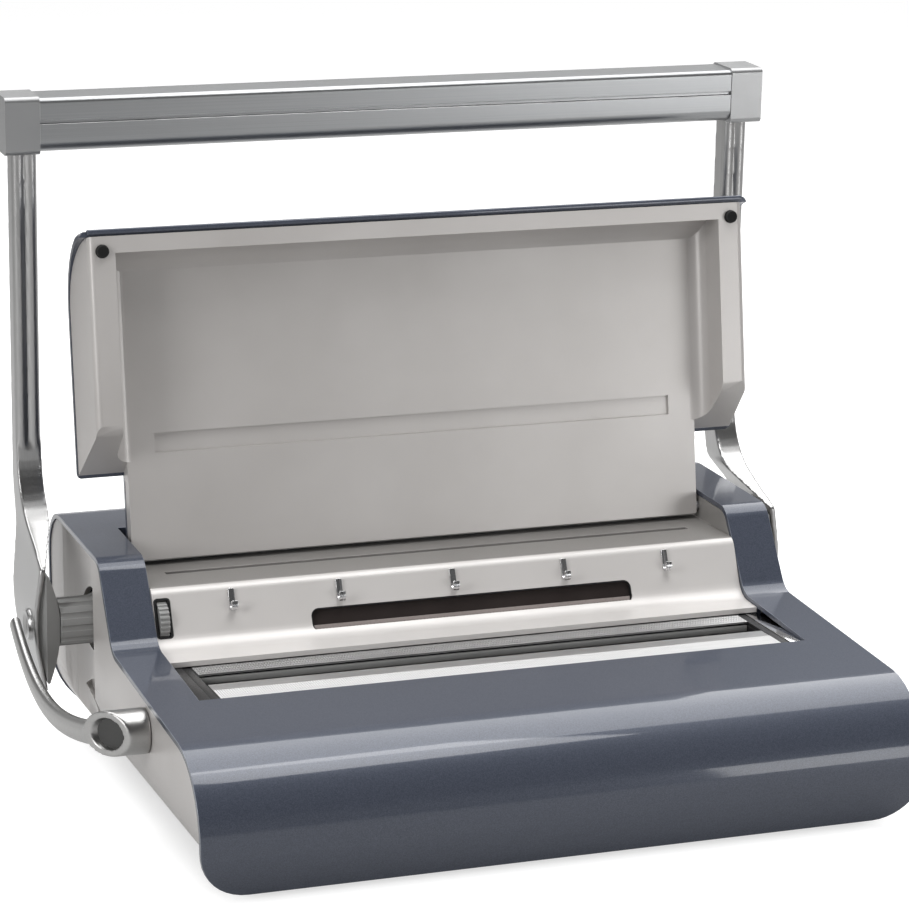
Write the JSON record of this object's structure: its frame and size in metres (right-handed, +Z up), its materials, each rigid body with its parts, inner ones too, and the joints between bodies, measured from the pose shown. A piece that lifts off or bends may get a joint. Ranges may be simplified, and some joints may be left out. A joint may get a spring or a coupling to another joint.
{
  "type": "wire binding machine",
  "caption": "Desk-top wire binding machine with a raised document lid, a full-width punching handle on two side arms, a wire-closing lever, a paper throat and a chip drawer.",
  "frame": {"origin": "on the desk under the middle of the machine's body, half way between the nose and the rear wall", "axes": "+Z up, +X to the operator's right along the handle bar, -Y towards the operator"},
  "size_m": [0.4763, 0.3426, 0.3818],
  "materials": {
    "slate_paint": "glossy metallic slate blue-grey",
    "warm_grey_plastic": "satin warm light grey",
    "dark_grey_plastic": "satin dark grey",
    "smoked_plastic": "glossy smoked brown-black",
    "black_plastic": "satin black",
    "black_rubber": "matt black",
    "silver_plastic": "fine textured silver grey",
    "satin_aluminium": "satin anodised",
    "polished_silver": "polished",
    "bright_chrome": "bright",
    "frame_steel": "plain machined"
  },
  "bodies": {
    "machine": {"top_shell": "slate_paint", "left_cheek": "warm_grey_plastic", "right_cheek": "warm_grey_plastic", "base_pan": "dark_grey_plastic", "rubber_feet": "black_rubber", "base_screws": "frame_steel", "left_side_plate": "frame_steel", "right_side_plate": "frame_steel", "shaft_bushes": "dark_grey_plastic", "lever_bushes": "dark_grey_plastic", "punch_cover": "warm_grey_plastic", "throat_ledge": "warm_grey_plastic", "view_window": "smoked_plastic", "wire_hooks": "bright_chrome", "die_block": "frame_steel", "guide_block": "frame_steel", "carrier_rods": "bright_chrome", "lid_hinge_pins": "frame_steel", "anvil_bar": "bright_chrome", "slot_ends": "black_plastic", "slot_brackets": "bright_chrome", "slot_tray": "black_plastic"},
    "handle": {"handle_bar": "satin_aluminium", "left_end_block": "silver_plastic", "right_end_block": "silver_plastic", "left_arm": "polished_silver", "right_arm": "polished_silver", "left_hub_cover": "dark_grey_plastic", "right_hub_cover": "dark_grey_plastic", "hub_collars": "dark_grey_plastic", "hub_bolts": "polished_silver", "drive_shaft": "frame_steel", "drive_pinions": "frame_steel"},
    "carrier": {"punch_carrier": "frame_steel", "punch_pins": "bright_chrome", "carrier_racks": "frame_steel"},
    "lid": {"lid_shell": "slate_paint", "lid_liner": "warm_grey_plastic", "lid_bumpers": "black_rubber"},
    "lever": {"wire_lever": "polished_silver", "lever_cap": "dark_grey_plastic", "lever_shaft": "frame_steel", "closer_pinions": "frame_steel"},
    "closer": {"closer_bar": "bright_chrome", "closer_racks": "frame_steel"},
    "wheel": {"guide_wheel": "dark_grey_plastic", "guide_screw": "frame_steel"},
    "guide": {"edge_guide": "dark_grey_plastic"},
    "drawer": {"chip_drawer": "warm_grey_plastic"}
  },
  "joints": [
    {"name": "handle_swing", "type": "hinge", "parent": "machine", "child": "handle", "pos_m": [0, 0.099, 0.082], "axis": [1, 0, 0], "range_deg": [0, 100]},
    {"name": "carrier_slide", "type": "slide", "parent": "machine", "child": "carrier", "axis": [0, -1, 0], "range_m": [0, 0.014]},
    {"name": "lid_hinge", "type": "hinge", "parent": "machine", "child": "lid", "pos_m": [0, 0.084, 0.1225], "axis": [1, 0, 0], "range_deg": [0, 99]},
    {"name": "lever_swing", "type": "hinge", "parent": "machine", "child": "lever", "pos_m": [0, -0.058, 0.0625], "axis": [1, 0, 0], "range_deg": [0, 90]},
    {"name": "closer_slide", "type": "slide", "parent": "machine", "child": "closer", "axis": [0, 1, 0], "range_m": [0, 0.0126]},
    {"name": "wheel_turn", "type": "hinge", "parent": "machine", "child": "wheel", "pos_m": [-0.1711, 0.029, 0.0972], "axis": [1, 0, 0], "range_deg": [-180, 180]},
    {"name": "guide_slide", "type": "slide", "parent": "machine", "child": "guide", "axis": [1, 0, 0], "range_m": [-0.003, 0.003]},
    {"name": "drawer_slide", "type": "slide", "parent": "machine", "child": "drawer", "axis": [1, 0, 0], "range_m": [0, 0.15]}
  ],
  "couplings": [
    {"joint": "carrier_slide", "follows": "handle_swing", "m_per_rad": 0.008},
    {"joint": "closer_slide", "follows": "lever_swing", "m_per_rad": 0.008},
    {"joint": "guide_slide", "follows": "wheel_turn", "m_per_rad": 0.00095}
  ]
}
